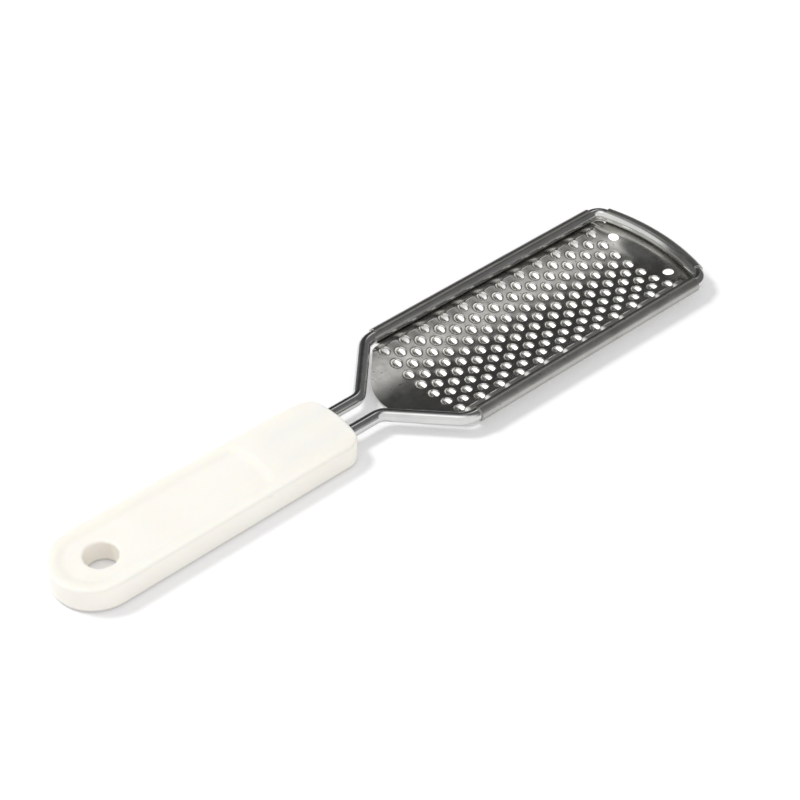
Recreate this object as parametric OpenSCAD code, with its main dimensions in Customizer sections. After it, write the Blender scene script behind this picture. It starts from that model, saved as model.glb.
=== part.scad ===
// Foot rasp: a moulded handle, a bent wire frame and a punched steel plate rolled over the wire.
// X runs along the rasp towards its far end, Z is up, and the surface it lies on is Z = 0.
// The origin is under the middle of the whole length.

/* [Handle] */
// Length of the handle
handle_l = 98; // [80:1:120]
// Width at the rounded rear end
handle_w = 26; // [22:0.5:32]
// Width at the front, where the wire comes out
handle_front_w = 25; // [20:0.5:32]
// Thickness
handle_t = 8.5; // [7.5:0.1:12]
// Rounding of the long edges
handle_edge_r = 1; // [0.5:0.1:2]
// Radius of the bowed front edge
front_arc_r = 36; // [28:1:60]
// Radius of the front corners
front_corner_r = 4; // [2.5:0.5:7]
// Length of the bevels at the front corners
bevel_l = 15; // [8:1:22]
// Width of those bevels at the front
bevel_w = 3; // [1.5:0.5:5]
// Lean of those bevels from level
bevel_lean = 24; // [15:1:35]

/* [Sunk panel] */
// Depth of the panel in the top face
panel_depth = 0.9; // [0.4:0.1:1.2]
// Width of the raised border round the panel
panel_land = 3.3; // [2:0.1:5]
// Distance from the front edge back to the panel
panel_setback = 30.5; // [26:0.5:45]
// Radius of the panel's front corners
panel_corner_r = 3; // [1.5:0.5:5]
// Slope of the panel's walls, as the run at the top
panel_draft = 0.5; // [0.1:0.1:1]

/* [Hanging hole] */
// Diameter of the hanging hole
hang_hole_d = 9.6; // [6:0.1:12]
// Distance from the rear end to the middle of the hole
hang_hole_inset = 15; // [12:0.5:20]
// Chamfer at both mouths of the hole
hang_hole_chamfer = 0.6; // [0.2:0.1:1]

/* [Wire frame] */
// Diameter of the wire
wire_d = 4; // [3:0.1:4.5]
// Height of the middle of the wire
wire_z = 5.05; // [4.6:0.05:5.6]
// Distance between the two long sides, middle to middle
frame_w = 46.1; // [42:0.1:52]
// Distance between the two legs at the neck, middle to middle
neck_w = 9.5; // [7:0.1:12]
// Length of the legs held inside the handle
tang_l = 22; // [12:0.5:24]
// Distance from the handle to the first bend
neck_l = 11.4; // [8:0.1:16]
// Angle at which the neck widens
shoulder_angle = 46; // [38:1:54]
// Distance from the handle to the wire at the far end
frame_l = 132.5; // [125:0.1:150]
// Radius of the bowed far end
far_arc_r = 65; // [60:1:90]
// Radius of the bends at the neck
neck_bend_r = 5; // [4:0.5:7]
// Radius of the bends at the shoulders
shoulder_bend_r = 7; // [6:0.5:9]
// Radius of the bends at the far corners
corner_bend_r = 4; // [3.5:0.25:7]

/* [Rasp plate] */
// Thickness of the sheet
sheet_t = 0.5; // [0.4:0.05:0.6]
// Radius of the trough that the plate is curved to
trough_r = 62; // [58:1:80]
// Radius of the crest along each side
crest_r = 1.2; // [0.8:0.1:1.6]
// Slope from the crest down to the wire
flank_angle = 20; // [15:1:24]
// Where the rolled edge ends past the top of the wire
roll_lap = 20; // [5:1:30]
// Bare wire left between each bend and the rolled edge
roll_relief = 0.9; // [0.5:0.1:3]
// Gap between the near end of the plate and the wire
end_gap = 0.6; // [0.4:0.1:1.5]
// Radius of the plate's near end
nose_r = 17.2; // [14:0.1:20]
// Length of the blend from the trough up to the far wire
far_blend_l = 8; // [6:0.1:8.7]

/* [Teeth] */
// Distance between teeth in a row
tooth_pitch = 8; // [7:0.1:10]
// Distance between rows, along the curved sheet
row_pitch = 2.83; // [2.7:0.01:3]
// Teeth in a full row
teeth_per_row = 12; // [8:1:12]
// Number of rows on each side of the middle row
side_rows = 6; // [3:1:6]
// Height of a tooth below the sheet
tooth_h = 1.3; // [1:0.05:1.6]
// Radius of a tooth's dimple at the face of the sheet
dimple_r = 1.75; // [1.4:0.05:1.9]
// Wall of a tooth
tooth_wall = 0.4; // [0.3:0.05:0.5]
// Distance from the last full row's end to the far wire
tooth_end_gap = 13; // [12.3:0.1:16]
// Diameter of the two plain holes
plain_hole_d = 3.5; // [2.5:0.1:4]
// Distance of the plain holes from the middle line
plain_hole_y = 12.1; // [9:0.1:14]
// Distance from the far wire back to the plain holes
plain_hole_gap = 7.4; // [6.2:0.1:8]

/* [Fits] */
// Clearance round the wire in the handle and in the rolled edges
wire_gap = 0.05; // [0.02:0.01:0.1]

/* [Hidden] */
$fn = 96;
// Overlap of shapes that are joined or cut, so that no faces coincide
over = 1;

wire_r = wire_d / 2;
bore_r = wire_r + wire_gap;
side_y = frame_w / 2;
leg_y = neck_w / 2;

// Middle and outside of the sheet where it is rolled round the wire
roll_mid_r = bore_r + sheet_t / 2;
roll_out_r = bore_r + sheet_t;

// Places along the length
overall_l = handle_l + frame_l + roll_out_r;
rear_x = -overall_l / 2;
front_x = rear_x + handle_l;
far_x = front_x + frame_l;
hang_hole_x = rear_x + hang_hole_inset;

// Corners of the wire's path before they are rounded
neck_x = front_x + neck_l;
shoulder_x = neck_x + (side_y - leg_y) / tan(shoulder_angle);
neck_tan = neck_bend_r * tan(shoulder_angle / 2);
shoulder_tan = shoulder_bend_r * tan(shoulder_angle / 2);

// The far end is one big arc with a small bend at each side
far_centre_x = far_x - far_arc_r;
corner_y = side_y - corner_bend_r;
corner_reach = far_arc_r - corner_bend_r;
corner_x = far_centre_x + sqrt(pow(corner_reach, 2) - pow(corner_y, 2));
corner_angle = asin(corner_y / corner_reach);

// Middle of the sheet: the tips of the middle row of teeth touch Z = 0
trough_z = tooth_h + sheet_t / 2;
trough_axis_z = trough_z + trough_r;
// The crest joins the trough at this angle, and the flank touches the roll
crest_turn = acos((cos(flank_angle) * trough_axis_z - sin(flank_angle) * side_y
    - cos(flank_angle) * wire_z + roll_mid_r + crest_r) / (trough_r + crest_r));
trough_angle = crest_turn - flank_angle;
trough_edge_y = trough_r * sin(trough_angle);
trough_edge_z = trough_axis_z - trough_r * cos(trough_angle);
crest_y = trough_edge_y + crest_r * sin(trough_angle);
crest_z = trough_edge_z - crest_r * cos(trough_angle);

// The rolled edges stop short of the bends
roll_from_x = shoulder_x + shoulder_tan + roll_relief;
roll_to_x = corner_x - roll_relief;
far_roll_angle = corner_angle - roll_relief / far_arc_r * 180 / PI;

// Near end of the plate: a nose between two edges that run beside the wire
edge_offset = wire_r + end_gap;
nose_tip_x = neck_x - leg_y / tan(shoulder_angle) + edge_offset / sin(shoulder_angle);
nose_x = nose_tip_x + nose_r / sin(shoulder_angle);
notch_r = shoulder_bend_r - edge_offset;
notch_x = shoulder_x + shoulder_tan;
notch_y = side_y - shoulder_bend_r;

// Far end of the plate: the blend ends on a flat ring under the wire
blend_x = far_x - far_blend_l - wire_r - sheet_t;
ring_r = far_arc_r - wire_r - sheet_t;
ring_z = wire_z - roll_mid_r;
// The blend is a little thinner than the sheet and reaches into its neighbours
blend_skin = 0.04;
blend_lap = 0.3;
blend_inset = 0.2;

// Teeth
row_angle = row_pitch / trough_r * 180 / PI;
pattern_x = far_x - tooth_end_gap - (teeth_per_row - 1) * tooth_pitch / 2;
tooth_depth = sheet_t + tooth_h - tooth_wall;
tooth_in_r = (pow(dimple_r, 2) + pow(tooth_depth, 2)) / (2 * tooth_depth);
tooth_out_r = tooth_in_r + tooth_wall;
tooth_axis_z = tooth_out_r - tooth_h - sheet_t / 2;

// Steps of the curves in the plate
nose_steps = 12;
notch_steps = 6;
trough_steps = 20;
crest_steps = 6;
roll_steps = 30;
blend_steps_x = 8;
blend_steps_y = 24;

// Steps of the wire's skin
wire_sides = 24;
bend_steps = 7;
corner_steps = 10;
arc_steps = 12;

ivory = [0.96, 0.94, 0.86];
wire_steel = [0.62, 0.62, 0.62];
plate_steel = [0.75, 0.75, 0.74];

// Half of a disc's section with rounded rims
function disc_section(r, t, e, n = 6) = concat(
    [[0, 0]],
    [for (i = [0:n]) [r - e + e * sin(90 * i / n), e - e * cos(90 * i / n)]],
    [for (i = [0:n]) [r - e + e * cos(90 * i / n), t - e + e * sin(90 * i / n)]],
    [[0, t]]);

module rounded_disc(r, t, e, turn = 360) {
    rotate([0, 0, -turn / 2])
        rotate_extrude(angle = turn, $fn = 48)
            polygon(disc_section(r, t, e));
}

module handle_body() {
    front_turn = 2 * asin((handle_front_w / 2 - front_corner_r) / (front_arc_r - front_corner_r));
    corner_back = (front_arc_r - front_corner_r) * cos(front_turn / 2);
    corner_out = handle_front_w / 2 - front_corner_r;
    hull() {
        translate([rear_x + handle_w / 2, 0, 0])
            rounded_disc(handle_w / 2, handle_t, handle_edge_r);
        translate([front_x - front_arc_r, 0, 0])
            rounded_disc(front_arc_r, handle_t, handle_edge_r, front_turn);
        for (side = [-1, 1])
            translate([front_x - front_arc_r + corner_back, side * corner_out, 0])
                rounded_disc(front_corner_r, handle_t, handle_edge_r);
    }
}

// Recess in the top face, with sloping walls
module sunk_panel() {
    rear_r = handle_w / 2 - panel_land;
    front_half = handle_front_w / 2 - panel_land - panel_corner_r;
    draft = panel_draft / panel_depth * over;
    translate([0, 0, handle_t - panel_depth])
        hull() {
            translate([rear_x + handle_w / 2, 0, 0])
                cylinder(r1 = rear_r - panel_draft, r2 = rear_r + draft, h = panel_depth + over, $fn = 48);
            for (side = [-1, 1])
                translate([front_x - panel_setback - panel_corner_r, side * front_half, 0])
                    cylinder(r1 = panel_corner_r - panel_draft, r2 = panel_corner_r + draft,
                        h = panel_depth + over, $fn = 24);
        }
}

// Wedge that bevels one top edge, growing towards the front
module front_bevel() {
    block = 4 * bevel_l;
    turn = atan(bevel_w / bevel_l);
    translate([front_x - bevel_l, handle_front_w / 2, handle_t])
        rotate([0, 0, -turn])
            rotate([-bevel_lean, 0, 0])
                translate([-block / 2, -block / 4, 0])
                    cube([block, block, block]);
}

module hanging_hole() {
    floor_z = handle_t - panel_depth;
    translate([hang_hole_x, 0, 0]) {
        translate([0, 0, -over])
            cylinder(d = hang_hole_d, h = handle_t + 2 * over);
        translate([0, 0, -over])
            cylinder(r1 = hang_hole_d / 2 + hang_hole_chamfer + over, r2 = hang_hole_d / 2,
                h = hang_hole_chamfer + over);
        translate([0, 0, floor_z - hang_hole_chamfer])
            cylinder(r1 = hang_hole_d / 2, r2 = hang_hole_d / 2 + hang_hole_chamfer + over,
                h = hang_hole_chamfer + over);
    }
}

// Blind holes that the legs of the wire are moulded into
module leg_sockets() {
    for (side = [-1, 1])
        translate([front_x - tang_l - wire_gap, side * leg_y, wire_z])
            rotate([0, 90, 0])
                cylinder(r = bore_r, h = tang_l + wire_gap + over);
}

module handle() {
    color(ivory)
        difference() {
            handle_body();
            sunk_panel();
            for (side = [0, 1])
                mirror([0, side, 0])
                    front_bevel();
            hanging_hole();
            leg_sockets();
        }
}

// Stations of the wire's middle round a bend, between two directions from the bend's centre
// Each station is a place and a heading
function bend(x, y, r, from, to, turn, steps) = [for (i = [0:steps])
    let (a = from + (to - from) * i / steps)
        [x + r * cos(a), y + r * sin(a), a + turn]];

// Stations on the +Y side, from the end of the leg to the middle of the far end
half_path = concat(
    [[front_x - tang_l, leg_y, 0]],
    bend(neck_x - neck_tan, leg_y + neck_bend_r, neck_bend_r, -90, shoulder_angle - 90, 90, bend_steps),
    bend(notch_x, notch_y, shoulder_bend_r, 90 + shoulder_angle, 90, -90, bend_steps),
    bend(corner_x, corner_y, corner_bend_r, 90, corner_angle, -90, corner_steps),
    bend(far_centre_x, 0, far_arc_r, corner_angle * (1 - 1 / arc_steps), 0, -90, arc_steps - 1));
wire_path = concat(half_path,
    [for (i = [len(half_path) - 2:-1:0]) [half_path[i][0], -half_path[i][1], 180 - half_path[i][2]]]);

// Round wire along the stations, as one closed skin
module wire_sweep(path) {
    n = wire_sides;
    last = len(path) - 1;
    points = [for (s = path) for (k = [0:n - 1])
        let (a = 360 * (k + 0.5) / n)
            [s[0] - wire_r * cos(a) * sin(s[2]),
             s[1] + wire_r * cos(a) * cos(s[2]),
             wire_z + wire_r * sin(a)]];
    skin = [for (i = [0:last - 1]) for (k = [0:n - 1])
        let (here = i * n + k, next = i * n + (k + 1) % n)
            [here, here + n, next + n, next]];
    caps = [[for (k = [0:n - 1]) k], [for (k = [n - 1:-1:0]) last * n + k]];
    polyhedron(points = points, faces = concat(skin, caps));
}

module wire_frame() {
    color(wire_steel)
        wire_sweep(wire_path);
}

// Points on an arc in a section
function arc(centre, r, from, to, steps, first = 0) = [for (i = [first:steps])
    let (a = from + (to - from) * i / steps)
        centre + r * [cos(a), sin(a)]];

// One face of the sheet, from the middle of the trough to the end of the rolled edge
// The offset is up from the middle of the sheet in the trough, and towards the wire in the roll
// The crest starts on the trough's last point, which is counted once
function sheet_face(offset) = concat(
    arc([0, trough_axis_z], trough_r - offset, 270, 270 + trough_angle, trough_steps),
    arc([crest_y, crest_z], crest_r + offset, 90 + trough_angle, 90 - flank_angle, crest_steps, 1),
    arc([side_y, wire_z], roll_mid_r - offset, 270 - flank_angle, 450 + roll_lap, roll_steps));

// Section of the plate across its length, in one piece
module plate_section() {
    upper = sheet_face(sheet_t / 2);
    lower = sheet_face(-sheet_t / 2);
    half = concat(upper, [for (i = [len(lower) - 1:-1:0]) lower[i]]);
    polygon(concat(half, [for (i = [len(half) - 2:-1:1]) [-half[i][0], half[i][1]]]));
}

// The whole section along the plate, cut off where the blend starts
module plate_length() {
    difference() {
        translate([nose_tip_x, 0, 0])
            rotate([90, 0, 90])
                linear_extrude(roll_to_x - nose_tip_x)
                    plate_section();
        translate([blend_x, -trough_edge_y, 0])
            cube([far_blend_l + over, 2 * trough_edge_y, trough_axis_z]);
    }
}

// Outline of the plate's near end and sides, seen from above
module plate_outline() {
    half = concat(
        [for (i = [0:nose_steps])
            let (a = 180 - (90 - shoulder_angle) * i / nose_steps)
                [nose_x + nose_r * cos(a), nose_r * sin(a)]],
        [for (i = [0:notch_steps])
            let (a = 90 + shoulder_angle * (1 - i / notch_steps))
                [notch_x + notch_r * cos(a), notch_y + notch_r * sin(a)]],
        [[roll_from_x, notch_y + notch_r],
            [roll_from_x, side_y + roll_out_r + over],
            [far_x, side_y + roll_out_r + over]]);
    mirrored = [for (i = [len(half) - 1:-1:1]) [half[i][0], -half[i][1]]];
    polygon(concat(half, mirrored));
}

// Height of the middle of the sheet in the blend at the far end
function blend_share(u) = u * u * (3 - 2 * u);
function trough_height(y) = trough_axis_z - sqrt(pow(trough_r, 2) - pow(y, 2));
function blend_end_x(y) = far_centre_x + sqrt(pow(ring_r - blend_inset, 2) - pow(y, 2));
function blend_point(u, y) = [
    blend_x + blend_inset + (blend_end_x(y) - blend_x - blend_inset) * u,
    y,
    trough_height(y) + (ring_z - trough_height(y)) * blend_share(u)];

// Blend from the trough to the ring under the far wire, as a closed skin
module far_blend() {
    nx = blend_steps_x;
    ny = blend_steps_y;
    edge = trough_edge_y + blend_lap;
    half_t = sheet_t / 2 - blend_skin / 2;
    // The first and last stations reach into the trough and the ring
    us = [for (i = [-1:nx + 1]) i / nx];
    rows = len(us);
    function station(u, y) = let (p = blend_point(max(0, min(1, u)), y))
        [p[0] + (u < 0 ? -sheet_t : u > 1 ? sheet_t : 0), p[1], p[2]];
    points = [for (level = [-1, 1]) for (u = us) for (j = [0:ny])
        station(u, -edge + 2 * edge * j / ny) + [0, 0, level * half_t]];
    across = ny + 1;
    layer = rows * across;
    bottom = [for (i = [0:rows - 2]) for (j = [0:ny - 1]) for (half = [0, 1])
        let (a = i * across + j)
            half == 0 ? [a, a + across, a + across + 1] : [a, a + across + 1, a + 1]];
    top = [for (f = bottom) [f[2] + layer, f[1] + layer, f[0] + layer]];
    ends = [for (j = [0:ny - 1]) for (end = [0, 1])
        let (a = (end == 0 ? 0 : (rows - 1) * across) + j)
            end == 0 ? [a, a + 1, a + 1 + layer, a + layer] : [a + 1, a, a + layer, a + 1 + layer]];
    sides = [for (i = [0:rows - 2]) for (end = [0, 1])
        let (a = i * across + (end == 0 ? 0 : ny))
            end == 0 ? [a + across, a, a + layer, a + across + layer]
                : [a, a + across, a + across + layer, a + layer]];
    polyhedron(points = points, faces = concat(bottom, top, ends, sides));
}

// Sheet rolled round a wire at the origin, from straight below it to past the top
module roll_section() {
    reach = 3 * roll_out_r;
    difference() {
        circle(r = roll_out_r);
        circle(r = bore_r);
        polygon([[0, 0], reach * [cos(90 + roll_lap), sin(90 + roll_lap)],
            [-reach, 0], [-reach, -reach], [0, -reach]]);
    }
}

// Ring under the far wire and the edge rolled round it
module far_roll() {
    translate([far_centre_x, 0, 0])
        rotate([0, 0, -far_roll_angle])
            rotate_extrude(angle = 2 * far_roll_angle) {
                translate([ring_r, ring_z - sheet_t / 2])
                    square([far_arc_r - ring_r, sheet_t]);
                translate([far_arc_r, wire_z])
                    roll_section();
            }
}

// Place children on the underside of the trough at every tooth
module at_teeth() {
    for (row = [-side_rows:side_rows]) {
        short = (side_rows + row) % 2;
        for (i = [0:teeth_per_row - 1 - short])
            translate([pattern_x + (i - (teeth_per_row - 1 - short) / 2) * tooth_pitch, 0, trough_axis_z])
                rotate([row * row_angle, 0, 0])
                    translate([0, 0, tooth_axis_z - trough_r])
                        children();
    }
}

// Half dome that stands out below the sheet, open towards the far end
module tooth_dome() {
    rotate([0, 0, 90])
        rotate_extrude(angle = 180, $fn = 48)
            intersection() {
                circle(r = tooth_out_r);
                translate([0, -tooth_out_r - over])
                    square([tooth_out_r + over, tooth_out_r + over - tooth_axis_z]);
            }
}

// Curved sheet with its side rolls and teeth, up to the far blend
module toothed_length() {
    difference() {
        union() {
            intersection() {
                plate_length();
                linear_extrude(2 * wire_z)
                    plate_outline();
            }
            at_teeth()
                tooth_dome();
        }
        at_teeth()
            sphere(r = tooth_in_r, $fn = 48);
    }
}

// Blend with its two plain holes, and the roll round the far wire
module far_end() {
    difference() {
        union() {
            far_blend();
            far_roll();
        }
        for (side = [-1, 1])
            translate([far_x - plain_hole_gap, side * plain_hole_y, 0])
                cylinder(d = plain_hole_d, h = 2 * wire_z, $fn = 48);
    }
}

module rasp_plate() {
    color(plate_steel)
        union() {
            toothed_length();
            far_end();
        }
}

handle();
wire_frame();
rasp_plate();
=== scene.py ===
"""Foot rasp: a moulded handle, a bent wire frame and a punched steel plate rolled over the wire."""
import math

import bpy
import numpy as np
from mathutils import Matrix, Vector
from mathutils.geometry import delaunay_2d_cdt

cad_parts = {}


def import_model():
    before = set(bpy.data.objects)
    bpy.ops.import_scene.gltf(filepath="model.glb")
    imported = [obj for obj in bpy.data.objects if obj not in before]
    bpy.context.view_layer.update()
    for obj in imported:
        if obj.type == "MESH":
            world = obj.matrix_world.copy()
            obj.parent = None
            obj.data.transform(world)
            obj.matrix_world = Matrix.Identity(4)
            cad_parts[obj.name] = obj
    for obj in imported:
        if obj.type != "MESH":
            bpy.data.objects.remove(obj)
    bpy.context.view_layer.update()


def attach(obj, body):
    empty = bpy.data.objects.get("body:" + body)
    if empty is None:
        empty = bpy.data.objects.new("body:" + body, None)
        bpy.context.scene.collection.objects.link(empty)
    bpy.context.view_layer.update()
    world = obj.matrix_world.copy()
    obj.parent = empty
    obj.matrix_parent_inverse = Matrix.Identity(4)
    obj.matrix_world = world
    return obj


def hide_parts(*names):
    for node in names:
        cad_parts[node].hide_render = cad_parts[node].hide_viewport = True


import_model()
MM = 0.001
rad, cos, sin, pi = math.radians, math.cos, math.sin, math.pi

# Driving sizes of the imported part, in millimetres, with X along the rasp to its far end
HANDLE_L, HANDLE_W, HANDLE_FRONT_W, HANDLE_T = 98.0, 26.0, 25.0, 8.5
FRONT_BOW_R, FRONT_CORNER_R, EDGE_R = 36.0, 4.0, 1.0
BEVEL_L, BEVEL_W, BEVEL_LEAN = 15.0, 3.0, rad(24)
HANG_INSET, HANG_R = 15.0, 4.8
PANEL_DEPTH, PANEL_LAND, PANEL_SETBACK = 0.9, 3.3, 30.5
PANEL_CORNER_R = 3.0
WIRE_R, WIRE_Z, SIDE_Y, LEG_Y, TANG_L = 2.0, 5.05, 23.05, 4.75, 22.0
FRAME_L, NECK_L, NECK_R, SHOULDER_R, CORNER_R, FAR_R = 132.5, 11.4, 5.0, 7.0, 4.0, 65.0
SHOULDER = rad(46)
SHEET_T, TROUGH_R, CREST_R, FLANK, LAP = 0.5, 62.0, 1.2, rad(20), rad(20)
ROLL_RELIEF, END_GAP, NOSE_R, BLEND_L = 0.9, 0.6, 17.2, 8.0
TOOTH_H, DIMPLE_R, TOOTH_WALL, PITCH, ROW_PITCH = 1.3, 1.75, 0.4, 8.0, 2.83
FULL_ROW, SIDE_ROWS, TOOTH_END_GAP = 12, 6, 13.0
HOLE_R, HOLE_Y, HOLE_GAP = 1.75, 12.1, 7.4
CLEARANCE = 0.05

# Sizes that only the visible model has
# Reach of a dome past its middle, which narrows its mouth
MOUTH = 0.7
# How far punching drew the sheet down at a tooth of the outer rows and of the others
DRAW_EDGE, DRAW = 0.8, 0.12
# Radius of that draw, how far outside an outer row it lies, and where it ends, in radii squared
DRAW_R, DRAW_OUT, DRAW_END = 1.5, 2.6, 7.0
# Length past the side rolls over which the flanks join the blend to the far wire
ROLL_FADE = 1.0
# Slope of the panel's wall, how far its foot lies inside the panel's outline, and the bowed front
PANEL_SLOPE, PANEL_IN, PANEL_BOW_R = rad(27), 0.9, 52.0
# Room behind the end of a leg in its socket
SOCKET_ROOM = 1.0
# Soft edges of the handle
BEVEL_SOFT, PANEL_FOOT_SOFT, PANEL_RIM_SOFT, HANG_SOFT, SOCKET_SOFT = 1.0, 0.5, 0.7, 1.1, 0.25

# Fineness of the meshes, as steps along a line, an arc or a full turn
SEG, DOME_STEPS, SIDE_STEPS, FAR_STEPS, ROLL_STEPS = 32, 6, 93, 60, 26
NOSE_STEPS, NEAR_EDGE_STEPS, NOTCH_STEPS, PLATE_CORNER_STEPS = 24, 12, 8, 8
WIRE_SEG, BEND_STEPS, CORNER_STEPS, BOW_STEPS = 48, 14, 18, 20
# Distances of the wire's first rings of points from the end of its leg
TANG_RINGS = 0.0, 3.0, 6.0, 9.0
# Cells of the handle's field, full and quick, and how far they go past the handle along each axis
FIELD_CELL, QUICK_CELL, FIELD_MARGIN = 0.36, 0.55, (1.0, 1.5, 1.0)
# Rounds of moving its points onto the surface, their steps, and the least square of a slope there
NET_ROUNDS, NET_STEP, NET_NORMAL_STEP, NET_FLATTEST = 6, 0.02, 0.03, 0.05
# Points that fill the sheet: their spaces over the trough, along the crests and down the flanks, how
# far they stay inside the trough's edges, their lines further out, and how early those lines start
FILL_STEP, CREST_STEP, FLANK_STEP, FILL_INSET = 1.1, 0.55, 1.0, 0.6
CREST_LINES, FLANK_LINES, LINE_LEAD = 4, (0.9, 1.9, 2.9), 5.0
# Rings of points round a tooth and round a plain hole, and the space kept free beside the rings
# and beside the outline
RING_ANGLES = [2 * pi * k / SEG for k in range(SEG)]
TOOTH_RING, HOLE_RING, RING_MARGIN, LOOP_MARGIN = 2.2, HOLE_R + 0.12, 0.3, 0.25
# How far inside a ring the middle of a triangle lies at least, if the ring cuts it out
RING_SLACK = 0.02
# Step by which the sheet's normals are measured, and a width beside a roll where the section gives them
NORMAL_STEP, ROLL_SIDE = 0.02, 0.05
# How far outside the ring under the far wire the slit beside the far roll has its points
SLIT_OUT = 1.1, 0.5
# A corner takes the true normal of its point if their dot product is over this
SAME_FACE = 0.8
# Rounded edges of a tooth and then of a plain hole, as pairs of a distance past the edge and one into
# the sheet from its face
DOME_LIP, DOME_FOOT = ((0.26, 0.005), (0.1, 0.05)), ((-0.02, -0.07), (0.12, -0.015))
CUT_LIP, CUT_FOOT = ((0.26, 0.0), (0.07, 0.02), (-0.02, 0.1)), ((0.01, 0.06), (0.06, 0.0), (0.3, 0.0))
HOLE_LIP = ((0.04, 0.02), (0.0, 0.1))
# Furthest that a tooth's edges reach on the sheet's upper and lower face, just inside its ring
LIP_END, FOOT_END = 2.08, 2.12
# How far past its rim a dome's first points lie, as a share of the way to its mouth
RIM_SHARE = 0.03
# Distances from a tooth's middle between which its ball cuts the sheet
REACH = 0.3, 2.15
# Rounds of halving that find a place on the section, and the edge of a tooth
SECTION_ROUNDS, REACH_ROUNDS = 50, 14

# Places and sizes worked out from the driving ones
BORE_R = WIRE_R + CLEARANCE
ROLL_R = BORE_R + SHEET_T / 2
ROLL_OUT = BORE_R + SHEET_T
REAR_X = -(HANDLE_L + FRAME_L + ROLL_OUT) / 2
FRONT_X = REAR_X + HANDLE_L
FAR_X = FRONT_X + FRAME_L
NECK_X = FRONT_X + NECK_L
SHOULDER_X = NECK_X + (SIDE_Y - LEG_Y) / math.tan(SHOULDER)
NECK_TAN = NECK_R * math.tan(SHOULDER / 2)
SHOULDER_TAN = SHOULDER_R * math.tan(SHOULDER / 2)
BEND_X, BEND_Y = SHOULDER_X + SHOULDER_TAN, SIDE_Y - SHOULDER_R
FAR_CX = FAR_X - FAR_R
CORNER_Y = SIDE_Y - CORNER_R
CORNER_X = FAR_CX + math.sqrt((FAR_R - CORNER_R) ** 2 - CORNER_Y ** 2)
CORNER_A = math.asin(CORNER_Y / (FAR_R - CORNER_R))
# The section: the trough to S1, the crest to S2, the flank to S3 and then the roll
AXIS_Z = TOOTH_H + SHEET_T / 2 + TROUGH_R
TURN = math.acos((cos(FLANK) * AXIS_Z - sin(FLANK) * SIDE_Y - cos(FLANK) * WIRE_Z + ROLL_R + CREST_R)
                 / (TROUGH_R + CREST_R))
TROUGH_A = TURN - FLANK
CREST_Y, CREST_Z = (TROUGH_R + CREST_R) * sin(TROUGH_A), AXIS_Z - (TROUGH_R + CREST_R) * cos(TROUGH_A)
FLANK_Y, FLANK_Z = CREST_Y + CREST_R * sin(FLANK), CREST_Z + CREST_R * cos(FLANK)
TOUCH_Y, TOUCH_Z = SIDE_Y - ROLL_R * sin(FLANK), WIRE_Z - ROLL_R * cos(FLANK)
S1 = TROUGH_R * TROUGH_A
S2 = S1 + CREST_R * TURN
S3 = S2 + math.hypot(TOUCH_Y - FLANK_Y, TOUCH_Z - FLANK_Z)
SIDE_TURN, FAR_TURN = pi + FLANK + LAP, pi + LAP
# The plate's outline
ROLL_FROM, ROLL_TO = BEND_X + ROLL_RELIEF, CORNER_X - ROLL_RELIEF
FAR_ROLL_A = CORNER_A - ROLL_RELIEF / FAR_R
EDGE_OFF = WIRE_R + END_GAP
NOSE_TIP = NECK_X - LEG_Y / math.tan(SHOULDER) + EDGE_OFF / sin(SHOULDER)
NOSE_X = NOSE_TIP + NOSE_R / sin(SHOULDER)
RING_R, RING_Z = FAR_R - WIRE_R - SHEET_T, WIRE_Z - ROLL_R
BLEND_X = FAR_X - BLEND_L - WIRE_R - SHEET_T
# Distances out from the middle of the wire between which the steel turns to that of the rolls, with its
# painted shade
ROLLED_FROM, ROLLED_TO = -ROLL_OUT - 0.1, -ROLL_OUT + 0.4
# The teeth and holes
PATTERN_X = FAR_X - TOOTH_END_GAP - (FULL_ROW - 1) * PITCH / 2
HOLE_X = FAR_X - HOLE_GAP
DEPTH = SHEET_T + TOOTH_H - TOOTH_WALL
IN_R = (DIMPLE_R ** 2 + DEPTH ** 2) / (2 * DEPTH)
OUT_R = IN_R + TOOTH_WALL
BALL_UP = OUT_R - TOOTH_H - SHEET_T / 2
HANG_X = REAR_X + HANG_INSET

# Floor, in metres, with its drop and the brighter patch of painted light under the teeth in millimetres
FLOOR_HALF, FLOOR_GREY, FLOOR_GLOW, FAR_GLOW, FAR_FROM, FAR_TO = 3.0, 0.80, 0.22, 0.4, 0.2, 1.0
FLOOR_DROP, FLOOR_BLUE = 0.02, 1.01
PATCH_X, PATCH_Y, PATCH_EDGE = (PATTERN_X - 48, PATTERN_X + 58), (-19, 21), 4
# Levels of the lights that shiny surfaces see, and of the soft light on the others
STRIP, WIDE, LAMP, STUDIO, WALLS, FLAG_SHADE = 0.88, 0.85, 0.6, 0.16, 0.12, 0.32
FILL, FRONT_FILL = 0.54, 0.36
# Directions of the lamp and of the dark flag
LAMP_AT, FLAG_AT = (-0.12, 0, 1), (0.49, 0.70, 0.52)
# Key light, in metres and watts
KEY_AT, KEY_SIZE, KEY_POWER = (-0.35, 0.5, 0.9), 0.26, 6.1
# Camera: its place in millimetres, its turn and tilt, and a focal length in pixels of the photograph
CAMERA_AT, CAMERA_AZ, CAMERA_EL = (-288.4, -336.1, 400.8), rad(-41.085), rad(41.914)
SENSOR, FOCAL_PX, PHOTO_PX = 36.0, 2027.5, 800
# Nearest distance that it shows, in metres
CLIP = 0.01


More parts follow.
